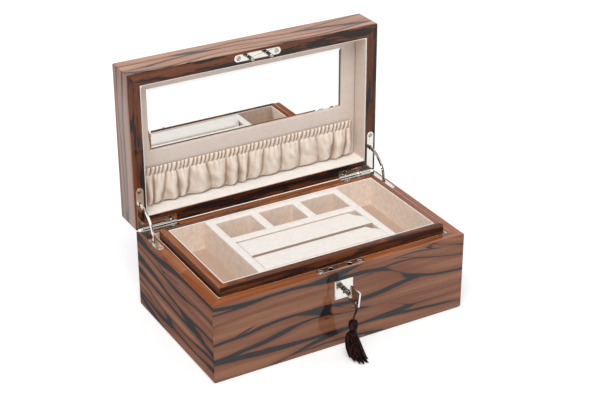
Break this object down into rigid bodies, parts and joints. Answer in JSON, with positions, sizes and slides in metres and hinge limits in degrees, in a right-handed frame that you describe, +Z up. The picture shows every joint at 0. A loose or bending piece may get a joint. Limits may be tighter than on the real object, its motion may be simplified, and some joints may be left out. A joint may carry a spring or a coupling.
{
  "type": "jewellery box",
  "caption": "Lockable veneered jewellery box with a mirrored lid on quadrant hinges, a suede-lined lift-out tray with ring rolls, and a key on a tassel.",
  "frame": {"origin": "centre of the felt underside that the box stands on", "axes": "+X to the box's right seen from the front, +Y to the rear, +Z up; the front with the lock faces -Y"},
  "size_m": [0.29, 0.2554, 0.26],
  "materials": {
    "veneer": "high-gloss lacquered ebony-figured veneer, pink-brown with charcoal streaks",
    "tray_wood": "high-gloss lacquered red-brown hardwood",
    "suede": "cream faux suede over card and foam",
    "satin": "gathered beige velour",
    "felt": "dark brown felt",
    "nickel": "polished nickel plate",
    "mirror": "bevelled silvered glass",
    "silk": "dark brown rayon silk thread"
  },
  "bodies": {
    "case": {"case_front_wall": "veneer", "case_rear_wall": "veneer", "case_left_wall": "veneer", "case_right_wall": "veneer", "case_bottom_board": "veneer", "case_felt_pad": "felt", "case_floor_pad": "suede", "case_lining_walls": "suede", "tray_rest_left": "suede", "tray_rest_right": "suede", "lock_case": "nickel", "lock_faceplate": "nickel", "lock_screw_left": "nickel", "lock_screw_right": "nickel", "escutcheon": "nickel", "hinge_case_leaf_left": "nickel", "hinge_case_leaf_right": "nickel", "hinge_pin_left": "nickel", "hinge_pin_right": "nickel", "hinge_case_screw_side_left": "nickel", "hinge_case_screw_rear_left": "nickel", "hinge_case_screw_side_right": "nickel", "hinge_case_screw_rear_right": "nickel"},
    "lid": {"lid_front_wall": "veneer", "lid_rear_wall": "veneer", "lid_left_wall": "veneer", "lid_right_wall": "veneer", "lid_top_board": "veneer", "lid_lining_walls": "suede", "lid_padded_panel": "suede", "lid_mirror": "mirror", "lid_pocket": "satin", "catch_plate": "nickel", "catch_screw_left": "nickel", "catch_screw_right": "nickel", "hinge_lid_leaf_left": "nickel", "hinge_lid_leaf_right": "nickel", "hinge_lid_screw_side_left": "nickel", "hinge_lid_screw_rear_left": "nickel", "hinge_lid_screw_side_right": "nickel", "hinge_lid_screw_rear_right": "nickel"},
    "stay_left": {"hinge_stay_left": "nickel"},
    "stay_right": {"hinge_stay_right": "nickel"},
    "tray": {"tray_front_rail": "tray_wood", "tray_rear_rail": "tray_wood", "tray_left_rail": "tray_wood", "tray_right_rail": "tray_wood", "tray_bottom_board": "tray_wood", "tray_lining": "suede", "tray_dividers": "suede", "ring_roll_front": "suede", "ring_roll_rear": "suede"},
    "bolt": {"lock_bolt": "nickel"},
    "tumbler": {"lock_tumbler": "nickel"},
    "key": {"key_shaft": "nickel", "key_bow": "nickel"},
    "tassel_loop": {"tassel_cord": "silk"},
    "tassel": {"tassel_head": "silk", "tassel_skirt": "silk"}
  },
  "joints": [
    {"name": "lid_hinge", "type": "hinge", "parent": "case", "child": "lid", "pos_m": [0, 0.0867, 0.087], "axis": [-1, 0, 0], "range_deg": [-90, 0]},
    {"name": "stay_left_swing", "type": "hinge", "parent": "case", "child": "stay_left", "pos_m": [-0.1385, 0.0867, 0.087], "axis": [-1, 0, 0], "range_deg": [-45, 0]},
    {"name": "stay_right_swing", "type": "hinge", "parent": "case", "child": "stay_right", "pos_m": [0.1385, 0.0867, 0.087], "axis": [-1, 0, 0], "range_deg": [-45, 0]},
    {"name": "tray_lift", "type": "slide", "parent": "case", "child": "tray", "axis": [0, 0, 1], "range_m": [0, 0.1]},
    {"name": "key_turn", "type": "hinge", "parent": "case", "child": "tumbler", "pos_m": [0, -0.0795, 0.0652], "axis": [0, 1, 0], "range_deg": [-90, 0]},
    {"name": "bolt_slide", "type": "slide", "parent": "case", "child": "bolt", "axis": [1, 0, 0], "range_m": [-0.0051, 0]},
    {"name": "key_pull", "type": "slide", "parent": "tumbler", "child": "key", "axis": [0, -1, 0], "range_m": [0, 0.035]},
    {"name": "tassel_turn", "type": "hinge", "parent": "key", "child": "tassel_loop", "pos_m": [-0.0006, -0.1133, 0.05948], "axis": [0, 1, 0], "range_deg": [0, 90], "deforming": ["tassel_cord"]},
    {"name": "tassel_swing", "type": "hinge", "parent": "tassel_loop", "child": "tassel", "pos_m": [-0.0034, -0.111, 0.0432], "axis": [-1, 0, 0], "range_deg": [-5, 35]}
  ],
  "couplings": [
    {"joint": "stay_left_swing", "follows": "lid_hinge", "ratio": 0.5},
    {"joint": "stay_right_swing", "follows": "lid_hinge", "ratio": 0.5},
    {"joint": "bolt_slide", "follows": "key_turn", "m_per_rad": 0.003241},
    {"joint": "tassel_turn", "follows": "key_turn", "ratio": -1}
  ]
}
